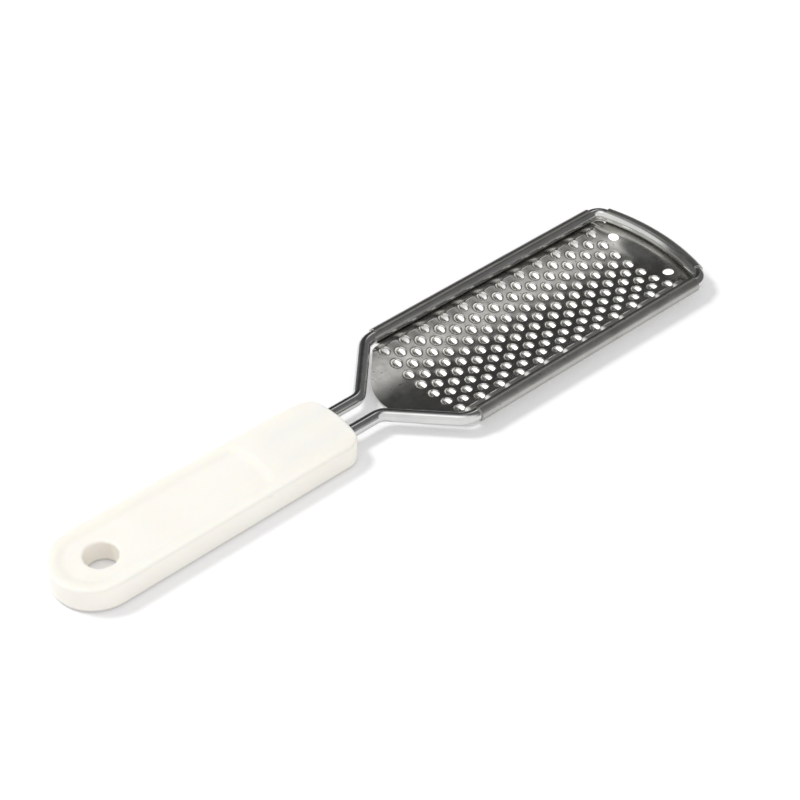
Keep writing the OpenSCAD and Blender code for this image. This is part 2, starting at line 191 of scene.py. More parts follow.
class Skin:
    """Points in millimetres, the true normals of some of them, and the faces between them."""

    def __init__(self):
        self.points, self.faces, self.normals = [], [], {}

    def put(self, point, normal=None):
        """Number of a new point."""
        self.points.append(np.asarray(point, float))
        if normal is not None:
            self.normals[len(self.points) - 1] = np.asarray(normal, float)
        return len(self.points) - 1

    def put_all(self, points):
        """Numbers of the points of a chain, where a point that repeats is put in once."""
        ids = []
        for k, point in enumerate(points):
            ids.append(ids[-1] if k and point is points[k - 1] else self.put(point))
        return ids

    def strip(self, one, two, swap=False):
        """Quads between two chains of points, with doubled points left out."""
        if swap:
            one, two = two, one
        for j in range(len(one) - 1):
            quad = []
            for v in (one[j], one[j + 1], two[j + 1], two[j]):
                if v not in quad:
                    quad.append(v)
            if len(quad) > 2:
                self.faces.append(quad)

    def piece(self, name, node, sharp):
        """The mesh object, in metres, that stands for a node. Edges over sharp degrees stay sharp."""
        used = sorted({i for face in self.faces for i in face})
        at = {v: k for k, v in enumerate(used)}
        mesh = bpy.data.meshes.new(name)
        faces = [tuple(at[i] for i in face) for face in self.faces]
        mesh.from_pydata([tuple(self.points[i] * MM) for i in used], [], faces)
        mesh.validate()
        mesh.polygons.foreach_set("use_smooth", [True] * len(mesh.polygons))
        mesh.set_sharp_from_angle(angle=rad(sharp))
        mesh.update()
        self.true_normals(mesh, at)
        obj = bpy.data.objects.new(name, mesh)
        bpy.context.collection.objects.link(obj)
        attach(obj, "root")
        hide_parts(node)
        print(name, "triangles", sum(len(p.vertices) - 2 for p in mesh.polygons))
        return obj

    def true_normals(self, mesh, at):
        """Give smooth corners their true normals, and leave corners at sharp edges alone."""
        corners = np.empty(len(mesh.loops) * 3)
        mesh.corner_normals.foreach_get("vector", corners)
        corners = corners.reshape(-1, 3)
        who = np.empty(len(mesh.loops), int)
        mesh.loops.foreach_get("vertex_index", who)
        known = {at[i]: n for i, n in self.normals.items() if i in at}
        for k, v in enumerate(who):
            n = known.get(int(v))
            if n is not None and float(np.dot(n, corners[k])) > SAME_FACE:
                corners[k] = n
        mesh.normals_split_custom_set([tuple(n) for n in corners])


# The sheet's section
def section(s):
    """Middle of the sheet at arc length s from the trough's middle: (y, z, normal y, normal z)."""
    side = 1.0 if s >= 0 else -1.0
    t = abs(s)
    if t <= S1:
        a = t / TROUGH_R
        y, z, ny, nz = TROUGH_R * sin(a), AXIS_Z - TROUGH_R * cos(a), -sin(a), cos(a)
    elif t <= S2:
        a = TROUGH_A - (t - S1) / CREST_R
        y, z, ny, nz = CREST_Y - CREST_R * sin(a), CREST_Z + CREST_R * cos(a), -sin(a), cos(a)
    elif t <= S3:
        d = t - S2
        y, z, ny, nz = FLANK_Y + d * cos(FLANK), FLANK_Z - d * sin(FLANK), sin(FLANK), cos(FLANK)
    else:
        a = -pi / 2 - FLANK + (t - S3) / ROLL_R
        y, z, ny, nz = SIDE_Y + ROLL_R * cos(a), WIRE_Z + ROLL_R * sin(a), -cos(a), -sin(a)
    return side * y, z, side * ny, nz


def s_at(y):
    """Arc length at which the section reaches y, for y up to where the roll starts."""
    lo, hi = 0.0, S3
    for _ in range(SECTION_ROUNDS):
        mid = (lo + hi) / 2
        if section(mid)[0] < abs(y):
            lo = mid
        else:
            hi = mid
    return math.copysign(lo, y)


def share(u):
    """Smooth step from 0 to 1."""
    u = min(max(u, 0.0), 1.0)
    return u * u * (3 - 2 * u)


def row_start(row):
    """X of the first tooth of a row, and how many teeth it has."""
    count = FULL_ROW - row % 2
    return PATTERN_X - (count - 1) / 2 * PITCH, count


def drawn(x, s):
    """How far punching drew the sheet down round the nearest teeth."""
    depth = 0.0
    middle = min(max(round(s / ROW_PITCH), -SIDE_ROWS), SIDE_ROWS)
    for row in range(max(middle - 1, -SIDE_ROWS), min(middle + 1, SIDE_ROWS) + 1):
        x0, count = row_start(row)
        i = min(max(round((x - x0) / PITCH), 0), count - 1)
        edge = abs(row) == SIDE_ROWS
        centre = row * ROW_PITCH + (math.copysign(DRAW_OUT, row) if edge else 0)
        away = ((x - x0 - i * PITCH) ** 2 + (s - centre) ** 2) / DRAW_R ** 2
        if away < DRAW_END:
            depth += (DRAW_EDGE if edge else DRAW) * math.exp(-away)
    return depth * (1 - share((abs(s) - S2) / (S3 - S2)))


def on_sheet(x, s, off=0.0):
    """A point of the sheet, off millimetres up from its middle, with the blend up to the far wire."""
    y, z, ny, nz = section(s)
    if abs(s) < S3:
        z -= drawn(x, s)
    if x > BLEND_X:
        end_x = FAR_CX + math.sqrt(RING_R ** 2 - y * y)
        stay = share((abs(s) - S2) / (S3 - S2)) * share((ROLL_TO + ROLL_FADE - x) / ROLL_FADE)
        z += (RING_Z - z) * share((x - BLEND_X) / (end_x - BLEND_X)) * (1 - stay)
    return np.array([x, y + off * ny, z + off * nz])


def sheet_normal(x, s, up):
    """Normal of the sheet's upper face, or of its lower face where up is -1."""
    e = NORMAL_STEP
    if abs(s) >= S3 - ROLL_SIDE:
        return np.array([0.0, *section(s)[2:]]) * up
    n = np.cross(on_sheet(x + e, s) - on_sheet(x - e, s), on_sheet(x, s + e) - on_sheet(x, s - e))
    return n / np.linalg.norm(n) * up


# The plate
def arc(cx, cy, r, start, stop, steps):
    """Points of an arc, with both its ends."""
    return [(cx + r * cos(a), cy + r * sin(a)) for a in np.linspace(start, stop, steps + 1)]


def near_end():
    """Half of the plate's near end in plan: its round nose, its straight edge and its shoulder."""
    nose = arc(NOSE_X, 0, NOSE_R, pi, pi / 2 + SHOULDER, NOSE_STEPS)
    notch = arc(BEND_X, BEND_Y, SHOULDER_R - EDGE_OFF, pi / 2 + SHOULDER, pi / 2, NOTCH_STEPS)
    (x0, y0), (x1, y1) = nose[-1], notch[0]
    shares = [i / NEAR_EDGE_STEPS for i in range(1, NEAR_EDGE_STEPS)]
    return nose + [(x0 + (x1 - x0) * t, y0 + (y1 - y0) * t) for t in shares] + notch


def plate_outline():
    """Outline of the flat pattern in (x, s), and where its points reach a side roll and the far roll."""
    near = [(x, s_at(y)) for x, y in near_end()]
    near.append((ROLL_FROM, near[-1][1]))
    side = [(x, S3) for x in np.linspace(ROLL_FROM, ROLL_TO, SIDE_STEPS + 1)]
    # Round the corner, just inside the middle of the wire, to the slit beside the far roll
    corner = arc(CORNER_X, CORNER_Y, TOUCH_Y - CORNER_Y, pi / 2, CORNER_A, PLATE_CORNER_STEPS)
    slit = [(FAR_CX + r * cos(FAR_ROLL_A), r * sin(FAR_ROLL_A)) for r in (RING_R + out for out in SLIT_OUT)]
    ring = [(x, s_at(y)) for x, y in arc(FAR_CX, 0, RING_R, FAR_ROLL_A, -FAR_ROLL_A, FAR_STEPS)]
    half = near + side + [(x, s_at(y)) for x, y in corner + slit]
    loop = half + ring + [(x, -s) for x, s in reversed(half)][:-1]
    return np.array(loop), len(near), len(half)


def within(loop, x, s):
    """Whether a flat point lies inside the outline."""
    a, b = loop, np.roll(loop, -1, 0)
    cross = (a[:, 1] > s) != (b[:, 1] > s)
    with np.errstate(divide="ignore", invalid="ignore"):
        at = a[:, 0] + (s - a[:, 1]) / (b[:, 1] - a[:, 1]) * (b[:, 0] - a[:, 0])
    return int((cross & (at > x)).sum()) % 2 == 1


def margin(loop, x, s):
    """Distance from a flat point to the outline."""
    a = loop
    d = np.roll(loop, -1, 0) - a
    t = np.clip(((x - a[:, 0]) * d[:, 0] + (s - a[:, 1]) * d[:, 1]) / (d ** 2).sum(1), 0, 1)
    return np.hypot(a[:, 0] + t * d[:, 0] - x, a[:, 1] + t * d[:, 1] - s).min()


def beside(rings, x, s, space):
    """Whether a flat point lies in a ring or closer to it than the space."""
    return (np.hypot(rings[:, 0] - x, rings[:, 1] - s) < rings[:, 2] + space).any()


def filler(loop, rings):
    """Points that fill the flat pattern, closer together along the crests."""
    spots = [(x, s) for s in np.arange(-S1 + FILL_INSET, S1 - FILL_INSET, FILL_STEP)
             for x in np.arange(NOSE_TIP, FAR_X, FILL_STEP)]
    lines = [(S1 + (S2 - S1) * k / CREST_LINES, CREST_STEP) for k in range(CREST_LINES + 1)]
    lines += [(S2 + down, FLANK_STEP) for down in FLANK_LINES]
    for line, step in lines:
        for x in np.arange(ROLL_FROM - LINE_LEAD, FAR_X, step):
            spots += [(x, line), (x, -line)]
    return [p for p in spots
            if not beside(rings, *p, RING_MARGIN) and margin(loop, *p) >= LOOP_MARGIN and within(loop, *p)]


def sheet(skin, loop, rings):
    """Both faces of the sheet up to its rolls, open inside the rings.

    Gives the numbers of the points of the outline and then of the rings, on the upper and the lower face."""
    flat = [Vector(p) for p in loop]
    edges = [(i, (i + 1) % len(loop)) for i in range(len(loop))]
    for x, s, r in rings:
        first = len(flat)
        flat += [Vector((x + r * cos(a), s + r * sin(a))) for a in RING_ANGLES]
        edges += [(first + k, first + (k + 1) % SEG) for k in range(SEG)]
    known = len(flat)
    flat += [Vector(p) for p in filler(loop, rings)]
    spots, _, triangles, origins, _, _ = delaunay_2d_cdt(flat, edges, [], 0, 1e-6)
    at = {old: new for new, olds in enumerate(origins) for old in olds}
    top, low = ([skin.put(on_sheet(x, s, up * SHEET_T / 2), sheet_normal(x, s, up)) for x, s in spots]
                for up in (1, -1))
    for face in triangles:
        p, q, r = (np.array(spots[i]) for i in face)
        middle = (p + q + r) / 3
        if beside(rings, *middle, -RING_SLACK) or not within(loop, *middle):
            continue
        if (q - p)[0] * (r - p)[1] - (q - p)[1] * (r - p)[0] < 0:
            face = face[::-1]
        skin.faces += [[top[i] for i in face], [low[i] for i in reversed(face)]]
    return [top[at[i]] for i in range(known)], [low[at[i]] for i in range(known)]


def cut_edges(skin, top, low, count, side_at, ring_at):
    """Close the outline's edges, all but the lengths that roll on round the wire."""
    rolled = {*range(side_at, side_at + SIDE_STEPS), *range(ring_at, ring_at + FAR_STEPS)}
    rolled |= {count - 1 - i for i in rolled}
    for i in range(count):
        j = (i + 1) % count
        if i not in rolled:
            skin.faces.append([low[i], low[j], top[j], top[i]])


def close_roll(skin, top, low, flip):
    """Faces of a rolled edge, between rows of points on the sheet's two faces."""
    for k in range(len(top) - 1):
        skin.strip(top[k], top[k + 1], flip)
        skin.strip(low[k], low[k + 1], not flip)
    for end in (0, -1):
        skin.strip([row[end] for row in top], [row[end] for row in low], flip == (end == 0))
    skin.strip(top[-1], low[-1], flip)


def side_roll(skin, top, low, side):
    """Roll a long edge round the wire, from its points on the sheet's two faces."""
    xs = np.linspace(ROLL_FROM, ROLL_TO, SIDE_STEPS + 1)
    faces = ((1, [top]), (-1, [low]))
    for k in range(1, ROLL_STEPS + 1):
        y, z, ny, nz = section(side * (S3 + ROLL_R * SIDE_TURN * k / ROLL_STEPS))
        for up, rows in faces:
            off = up * SHEET_T / 2
            rows.append([skin.put((x, y + off * ny, z + off * nz), (0.0, up * ny, up * nz)) for x in xs])
    close_roll(skin, faces[0][1], faces[1][1], side < 0)


def far_roll(skin, top, low):
    """A flat ring on from the blend, and then the roll round the far wire."""
    profile = [(RING_R + (FAR_R - RING_R) * k / 2, RING_Z, 0.0, 1.0) for k in (1, 2)]
    for k in range(1, ROLL_STEPS + 1):
        a = -pi / 2 + FAR_TURN * k / ROLL_STEPS
        profile.append((FAR_R + ROLL_R * cos(a), WIRE_Z + ROLL_R * sin(a), -cos(a), -sin(a)))
    faces = ((1, [top]), (-1, [low]))
    for r, z, nr, nz in profile:
        for up, rows in faces:
            out, height = r + up * SHEET_T / 2 * nr, z + up * SHEET_T / 2 * nz
            rows.append([skin.put((FAR_CX + out * cos(a), out * sin(a), height),
                                  (up * nr * cos(a), up * nr * sin(a), up * nz))
                         for a in np.linspace(FAR_ROLL_A, -FAR_ROLL_A, FAR_STEPS + 1)])
    close_roll(skin, faces[0][1], faces[1][1], True)


def along(one, two, t):
    """Direction part of the way along the great arc between two directions."""
    w = math.acos(max(-1.0, min(1.0, float(np.dot(one, two)))))
    return (sin((1 - t) * w) * one + sin(t * w) * two) / sin(w) if w > 1e-4 else two


class Tooth:
    """A half dome punched down out of the sheet, open towards the far end."""

    def __init__(self, x, row):
        a = row * ROW_PITCH / TROUGH_R
        self.x, self.s = x, row * ROW_PITCH
        self.up = np.array([0.0, -sin(a), cos(a)])
        self.across = np.array([0.0, cos(a), sin(a)])
        self.ball = np.array([x, TROUGH_R * sin(a), AXIS_Z - TROUGH_R * cos(a)]) + self.up * BALL_UP

    def at(self, angle, r, off):
        """Point of the sheet at distance r from the tooth's middle."""
        return on_sheet(self.x + r * cos(angle), self.s + r * sin(angle), off)

    def reach(self, angle, r, off):
        """How far out along the sheet a ball of radius r cuts it."""
        lo, hi = REACH
        for _ in range(REACH_ROUNDS):
            mid = (lo + hi) / 2
            if np.linalg.norm(self.at(angle, mid, off) - self.ball) < r:
                lo = mid
            else:
                hi = mid
        return lo

    def dome(self, angle, r, rim_r, off):
        """Points on a ball of radius r, from its rim in the sheet to the plane of the mouth."""
        rim = self.at(angle, rim_r, off) - self.ball
        rim /= np.linalg.norm(rim)
        m = MOUTH / r
        y = max(-1.0, min(1.0, float(np.dot(rim, self.across)))) * math.sqrt(1 - m * m)
        end = np.array([m, 0.0, 0.0]) + self.across * y - self.up * math.sqrt(max(0.0, 1 - m * m - y * y))
        first = rim * (1 - RIM_SHARE) + end * RIM_SHARE
        rest = [along(rim, end, (k + 1) / DOME_STEPS) for k in range(DOME_STEPS)]
        return [self.ball + r * d for d in [first / np.linalg.norm(first)] + rest]

    def edge(self, angle, r, pairs, face):
        """Points of a rounded edge at r. face is 1 on the sheet's upper face and -1 on its lower."""
        end = LIP_END if face > 0 else FOOT_END
        return [self.at(angle, min(r + past, end), face * (SHEET_T / 2 - into)) for past, into in pairs]

    def chain(self, angle):
        """Points of the tooth's section at an angle, from the sheet's upper face to its lower one."""
        r_in = self.reach(angle, IN_R, SHEET_T / 2)
        # Behind the mouth the section goes round the dome, and past it the sheet is only cut
        if r_in * cos(angle) <= MOUTH:
            r_out = self.reach(angle, OUT_R, -SHEET_T / 2)
            inner = self.dome(angle, IN_R, r_in, SHEET_T / 2)
            outer = self.dome(angle, OUT_R, r_out, -SHEET_T / 2)[:0:-1]
            lip = self.edge(angle, r_in, DOME_LIP, 1)
            return lip + inner + outer + self.edge(angle, r_out, DOME_FOOT, -1)
        *lip, upper = self.edge(angle, r_in, CUT_LIP, 1)
        lower, *foot = self.edge(angle, self.reach(angle, IN_R, -SHEET_T / 2), CUT_FOOT, -1)
        return lip + [upper] * (DOME_STEPS + 1) + [lower] * DOME_STEPS + foot


def fill_ring(skin, top, low, sections):
    """Faces of a tooth or a hole, through its sections, between its rings on the two faces."""
    chains = [[top[k]] + skin.put_all(points) + [low[k]] for k, points in enumerate(sections)]
    for k in range(SEG):
        skin.strip(chains[(k + 1) % SEG], chains[k])


def hole_section(s, angle):
    """Points down the rounded wall of a plain hole."""
    pairs = [(past, SHEET_T / 2 - into) for past, into in HOLE_LIP]
    pairs += [(past, -off) for past, off in reversed(pairs)]
    return [on_sheet(HOLE_X + (HOLE_R + past) * cos(angle), s + (HOLE_R + past) * sin(angle), off)
            for past, off in pairs]


def mark_rolled(obj):
    """Mark the rolls for the steel's painted shade and roughness, from 0 on the rest of the sheet to 1 on
    them.
    """
    rolled = obj.data.attributes.new("rolled", "FLOAT", "POINT")
    for v, value in zip(obj.data.vertices, rolled.data):
        x, y = v.co.x / MM, abs(v.co.y) / MM
        past_far = math.hypot(x - FAR_CX, y) - FAR_R if x > FAR_CX else -FAR_R
        value.value = share((max(y - SIDE_Y, past_far) - ROLLED_FROM) / (ROLLED_TO - ROLLED_FROM))


def plate():
    """The whole plate: its sheet, cut edges, rolls, teeth and plain holes."""
    skin = Skin()
    loop, side_at, ring_at = plate_outline()
    count = len(loop)
    rows = [(row, *row_start(row)) for row in range(-SIDE_ROWS, SIDE_ROWS + 1)]
    teeth = [Tooth(x0 + i * PITCH, row) for row, x0, number in rows for i in range(number)]
    holes = [s_at(side * HOLE_Y) for side in (-1, 1)]
    rings = [(tooth.x, tooth.s, TOOTH_RING) for tooth in teeth] + [(HOLE_X, s, HOLE_RING) for s in holes]
    top, low = sheet(skin, loop, np.array(rings))
    cut_edges(skin, top, low, count, side_at, ring_at)
    for side in (1, -1):
        start = [side_at + m if side > 0 else count - side_at - m for m in range(SIDE_STEPS + 1)]
        side_roll(skin, [top[i] for i in start], [low[i] for i in start], side)
    far = slice(ring_at, ring_at + FAR_STEPS + 1)
    far_roll(skin, top[far], low[far])
    sections = [[tooth.chain(a) for a in RING_ANGLES] for tooth in teeth]
    sections += [[hole_section(s, a) for a in RING_ANGLES] for s in holes]
    for k, section_points in enumerate(sections):
        ring = slice(count + SEG * k, count + SEG * (k + 1))
        fill_ring(skin, top[ring], low[ring], section_points)
    obj = skin.piece("plate", "rasp_plate", sharp=38.0)
    mark_rolled(obj)
    return obj


# The wire
def wire_path():
    """Middle of the wire with its headings, from one leg's end round to the other's."""
    def bend(x, y, r, start, stop, turn, steps):
        """An arc of the path. turn takes the angle of each point to the heading there."""
        angles = np.linspace(start, stop, steps + 1)
        return [(x + r * cos(a), y + r * sin(a), a + turn) for a in angles]

    path = [(FRONT_X - TANG_L + along_leg, LEG_Y, 0.0) for along_leg in TANG_RINGS]
    path += bend(NECK_X - NECK_TAN, LEG_Y + NECK_R, NECK_R, -pi / 2, SHOULDER - pi / 2, pi / 2, BEND_STEPS)
    path += bend(BEND_X, BEND_Y, SHOULDER_R, pi / 2 + SHOULDER, pi / 2, -pi / 2, BEND_STEPS)
    path += bend(CORNER_X, CORNER_Y, CORNER_R, pi / 2, CORNER_A, -pi / 2, CORNER_STEPS)
    path += bend(FAR_CX, 0, FAR_R, CORNER_A * (1 - 1 / BOW_STEPS), 0, -pi / 2, BOW_STEPS - 1)
    return path + [(x, -y, pi - heading) for x, y, heading in reversed(path[:-1])]


def wire():
    """The wire: a round tube along its path, with flat ends inside the handle."""
    skin = Skin()
    path = wire_path()
    for x, y, heading in path:
        for k in range(WIRE_SEG):
            a = 2 * pi * k / WIRE_SEG
            out = np.array([-cos(a) * sin(heading), cos(a) * cos(heading), sin(a)])
            skin.put(np.array([x, y, WIRE_Z]) + WIRE_R * out, out)
    for i in range(len(path) - 1):
        for k in range(WIRE_SEG):
            a, b = i * WIRE_SEG + k, i * WIRE_SEG + (k + 1) % WIRE_SEG
            skin.faces.append([b, b + WIRE_SEG, a + WIRE_SEG, a])
    last = (len(path) - 1) * WIRE_SEG
    skin.faces += [list(range(WIRE_SEG)), [last + k for k in reversed(range(WIRE_SEG))]]
    return skin.piece("wire", "wire_frame", sharp=60.0)


# The handle, as the zero level of a distance field
def smooth_max(a, b, k):
    """The larger of two fields, with a soft change from one to the other."""
    h = np.maximum(k - np.abs(a - b), 0.0) / k
    return np.maximum(a, b) + h * h * k / 4


def round_max(a, b, k):
    """The larger of two fields, with an outer corner of radius k."""
    u, v = np.maximum(a + k, 0), np.maximum(b + k, 0)
    return np.where((u > 0) & (v > 0), np.hypot(u, v) - k, np.maximum(a, b))


def bowed(x, y, tip, r):
    """Distance past a bowed edge of radius r that reaches tip on the middle line."""
    return np.where(x > tip - r, np.hypot(x - tip + r, y) - r, x - tip)


def tongue(x, y, rear_r, front_half_w, front_x, bow_r, corner_r):
    """Plan of a tongue with a round rear, tapering sides, a bowed front and round front corners."""
    rear = REAR_X + HANDLE_W / 2
    taper = math.asin((rear_r - front_half_w) / (front_x - rear))
    side = (x - rear) * sin(taper) + y * cos(taper) - rear_r
    body = np.where(x < rear, np.hypot(x - rear, y) - rear_r, side)
    return round_max(body, bowed(x, y, front_x, bow_r), corner_r)


def handle_field(p):
    """Distance outside the handle, in millimetres, at points with y on either side."""
    x, y, z = p[..., 0], np.abs(p[..., 1]), p[..., 2]
    plan = tongue(x, y, HANDLE_W / 2, HANDLE_FRONT_W / 2, FRONT_X, FRONT_BOW_R, FRONT_CORNER_R)
    solid = round_max(plan, np.abs(z - HANDLE_T / 2) - HANDLE_T / 2, EDGE_R)
    # Bevels at the front corners
    turn = math.atan(BEVEL_W / BEVEL_L)
    across = (x - FRONT_X + BEVEL_L) * sin(turn) + (y - HANDLE_FRONT_W / 2) * cos(turn)
    solid = smooth_max(solid, across * sin(BEVEL_LEAN) + (z - HANDLE_T) * cos(BEVEL_LEAN), BEVEL_SOFT)
    # Sunk panel
    panel = tongue(x, y, HANDLE_W / 2 - PANEL_LAND, HANDLE_FRONT_W / 2 - PANEL_LAND,
                   FRONT_X - PANEL_SETBACK, PANEL_BOW_R, PANEL_CORNER_R)
    foot = HANDLE_T - PANEL_DEPTH - z
    wall = (panel + PANEL_IN) * sin(PANEL_SLOPE) + foot * cos(PANEL_SLOPE)
    solid = smooth_max(solid, -smooth_max(wall, foot, PANEL_FOOT_SOFT), PANEL_RIM_SOFT)
    # Hanging hole, and sockets for the wire
    solid = smooth_max(solid, HANG_R - np.hypot(x - HANG_X, y), HANG_SOFT)
    socket = np.maximum(np.hypot(y - LEG_Y, z - WIRE_Z) - BORE_R, FRONT_X - TANG_L - SOCKET_ROOM - x)
    return smooth_max(solid, -socket, SOCKET_SOFT)


def slope(field, p, e):
    """Gradient of a field at points."""
    return np.stack([(field(p + axis * e) - field(p - axis * e)) / (2 * e) for axis in np.eye(3)], -1)


def surface_net(field, lo, hi, h):
    """Points, quads and normals on the zero level of a field, with one point for each crossed cell."""
    counts = [int(math.ceil((b - a) / h)) + 1 for a, b in zip(lo, hi)]
    axes = [a + h * np.arange(n) for a, n in zip(lo, counts)]
    inside = field(np.stack(np.meshgrid(*axes, indexing="ij"), -1)) < 0
    corners = sum(inside[i:n0, j:n1, k:n2].astype(int)
                  for i, n0 in ((0, -1), (1, None)) for j, n1 in ((0, -1), (1, None))
                  for k, n2 in ((0, -1), (1, None)))
    crossed = (corners > 0) & (corners < 8)
    number = -np.ones(crossed.shape, int)
    cells = np.argwhere(crossed)
    number[crossed] = np.arange(len(cells))
    points = np.array(lo) + h * (cells + 0.5)
    for _ in range(NET_ROUNDS):
        g = slope(field, points, NET_STEP)
        move = g * field(points)[:, None] / np.maximum((g ** 2).sum(-1, keepdims=True), NET_FLATTEST)
        points = points - np.clip(move, -h / 2, h / 2)
    normals = slope(field, points, NET_NORMAL_STEP)
    normals /= np.linalg.norm(normals, axis=1, keepdims=True)
    quads = np.vstack([crossed_edges(inside, number, axis) for axis in range(3)])
    return points, quads, normals


def crossed_edges(inside, number, axis):
    """A quad round each grid edge along an axis that crosses the surface."""
    b, c = (axis + 1) % 3, (axis + 2) % 3
    here = [slice(None)] * 3
    there = [slice(None)] * 3
    here[axis], there[axis] = slice(0, -1), slice(1, None)
    here, there = inside[tuple(here)], inside[tuple(there)]
    at = np.argwhere(here != there)
    limit = inside.shape
    at = at[(at[:, b] > 0) & (at[:, c] > 0) & (at[:, b] < limit[b] - 1) & (at[:, c] < limit[c] - 1)]
    quad = []
    for db, dc in ((0, 0), (-1, 0), (-1, -1), (0, -1)):
        cell = at.copy()
        cell[:, b] += db
        cell[:, c] += dc
        quad.append(number[tuple(cell.T)])
    quad = np.stack(quad, -1)
    out = ~here[tuple(at.T)]
    quad[out] = quad[out][:, ::-1]
    return quad


def handle():
    """The handle, as the skin of its field."""
    skin = Skin()
    cell = FIELD_CELL
    dx, dy, dz = FIELD_MARGIN
    lo, hi = (REAR_X - dx, -HANDLE_W / 2 - dy, -dz), (FRONT_X + dx, HANDLE_W / 2 + dy, HANDLE_T + dz)
    points, quads, normals = surface_net(handle_field, lo, hi, cell)
    points[:, 2] = np.clip(points[:, 2], 0, HANDLE_T)
    for point, normal in zip(points, normals):
        skin.put(point, normal)
    skin.faces = quads.tolist()
    return skin.piece("handle_body", "handle", sharp=180.0)


# Helpers for node trees
def material(name):
    """A new material, its node tree and its Principled shader."""
    made = bpy.data.materials.new(name)
    made.use_nodes = True
    tree = made.node_tree
    tree.nodes.clear()
    out = tree.nodes.new("ShaderNodeOutputMaterial")
    shader = tree.nodes.new("ShaderNodeBsdfPrincipled")
    tree.links.new(shader.outputs[0], out.inputs[0])
    return made, tree, shader


def in_object(tree):
    """Places in object space."""
    return tree.nodes.new("ShaderNodeTexCoord").outputs["Object"]


def noise(tree, scale, detail=2.0, stretch=None):
    """Noise in object space, stretched along an axis where stretch is small."""
    place = in_object(tree)
    if stretch:
        mapping = tree.nodes.new("ShaderNodeMapping")
        mapping.inputs["Scale"].default_value = stretch
        tree.links.new(place, mapping.inputs["Vector"])
        place = mapping.outputs["Vector"]
    node = tree.nodes.new("ShaderNodeTexNoise")
    node.inputs["Scale"].default_value = scale
    node.inputs["Detail"].default_value = detail
    tree.links.new(place, node.inputs["Vector"])
    return node.outputs["Fac"]


def parts(tree, vector):
    """X, Y and Z of a vector."""
    node = tree.nodes.new("ShaderNodeSeparateXYZ")
    tree.links.new(vector, node.inputs[0])
    return node.outputs


def map_range(tree, value, numbers, how="LINEAR"):
    """A value taken from one range to another. numbers are both ends of the first and of the second."""
    node = tree.nodes.new("ShaderNodeMapRange")
    node.interpolation_type = how
    for name, number in zip(("From Min", "From Max", "To Min", "To Max"), numbers):
        node.inputs[name].default_value = number
    tree.links.new(value, node.inputs["Value"])
    return node.outputs["Result"]


def spread(tree, value, lo, hi, start=0.3, stop=0.7):
    """lo where value is start, hi where it is stop, in a straight line between."""
    return map_range(tree, value, (start, stop, lo, hi))


def smooth(tree, value, lo, hi):
    """0 at lo, 1 at hi, with a soft start and end."""
    numbers = (lo, hi, 0.0, 1.0) if lo < hi else (hi, lo, 1.0, 0.0)
    return map_range(tree, value, numbers, "SMOOTHERSTEP")


def combine(tree, how, *values):
    """Values or sockets joined by one kind of sum, from the left."""
    total = values[0]
    for value in values[1:]:
        node = tree.nodes.new("ShaderNodeMath")
        node.operation = how
        for socket, one in zip(node.inputs, (total, value)):
            if isinstance(one, (int, float)):
                socket.default_value = one
            else:
                tree.links.new(one, socket)
        total = node.outputs[0]
    return total


def tint(tree, value, lo, hi):
    """A colour between two, by a value about 0.5."""
    node = tree.nodes.new("ShaderNodeValToRGB")
    for end, place, colour in zip(node.color_ramp.elements, (0.35, 0.65), (lo, hi)):
        end.position = place
        end.color = (*colour, 1)
    tree.links.new(value, node.inputs["Fac"])
    return node.outputs["Color"]


def shaded(tree, colour, level):
    """A colour times a level."""
    node = tree.nodes.new("ShaderNodeVectorMath")
    node.operation = "SCALE"
    tree.links.new(colour, node.inputs[0])
    tree.links.new(level, node.inputs["Scale"])
    return node.outputs[0]


def bump(tree, shader, value, strength, distance, after=None):
    """Relief by a value, on top of the relief after. Its distance is in metres."""
    node = tree.nodes.new("ShaderNodeBump")
    node.inputs["Strength"].default_value = strength
    node.inputs["Distance"].default_value = distance
    tree.links.new(value, node.inputs["Height"])
    if after is not None:
        tree.links.new(after, node.inputs["Normal"])
    tree.links.new(node.outputs["Normal"], shader.inputs["Normal"])
    return node.outputs["Normal"]


# Materials
def plate_steel():
    """Sheet steel with a fine grain and a few specks, with painted shade darkening the rolls, which are also
    duller.
    """
    made, tree, shader = material("plate_steel")
    shader.inputs["Metallic"].default_value = 1.0
    attribute = tree.nodes.new("ShaderNodeAttribute")
    attribute.attribute_name = "rolled"
    rolled = attribute.outputs["Fac"]
    specks = spread(tree, noise(tree, 900, 1), 1.0, 0.55, 0.70, 0.76)
    # Painted shade: the rolls' colour is darkened to 0.7, standing in for their dimmer reflections; the
    # specks are real marks
    level = combine(tree, "MULTIPLY", spread(tree, rolled, 1.0, 0.70, 0, 1), specks)
    colour = tint(tree, noise(tree, 120, 4), (0.585, 0.58, 0.55), (0.685, 0.68, 0.65))
    tree.links.new(shaded(tree, colour, level), shader.inputs["Base Color"])
    grain = spread(tree, noise(tree, 260, 5), 0.15, 0.25)
    rough = combine(tree, "ADD", grain, spread(tree, rolled, 0, 0.13, 0, 1))
    tree.links.new(rough, shader.inputs["Roughness"])
    waves = bump(tree, shader, noise(tree, 90, 2), 0.12, 0.0004)
    bump(tree, shader, noise(tree, 2600, 3), 0.06, 0.00004, waves)
    return made


def wire_steel():
    """Bright drawn wire, with fine lines along the rasp."""
    made, tree, shader = material("wire_steel")
    shader.inputs["Metallic"].default_value = 1.0
    colour = tint(tree, noise(tree, 90, 3), (0.58, 0.58, 0.57), (0.68, 0.68, 0.67))
    tree.links.new(colour, shader.inputs["Base Color"])
    tree.links.new(spread(tree, noise(tree, 300, 5), 0.10, 0.2), shader.inputs["Roughness"])
    lines = bump(tree, shader, noise(tree, 500, 3, (0.15, 1, 1)), 0.1, 0.0001)
    bump(tree, shader, noise(tree, 3000, 2), 0.05, 0.00003, lines)
    return made


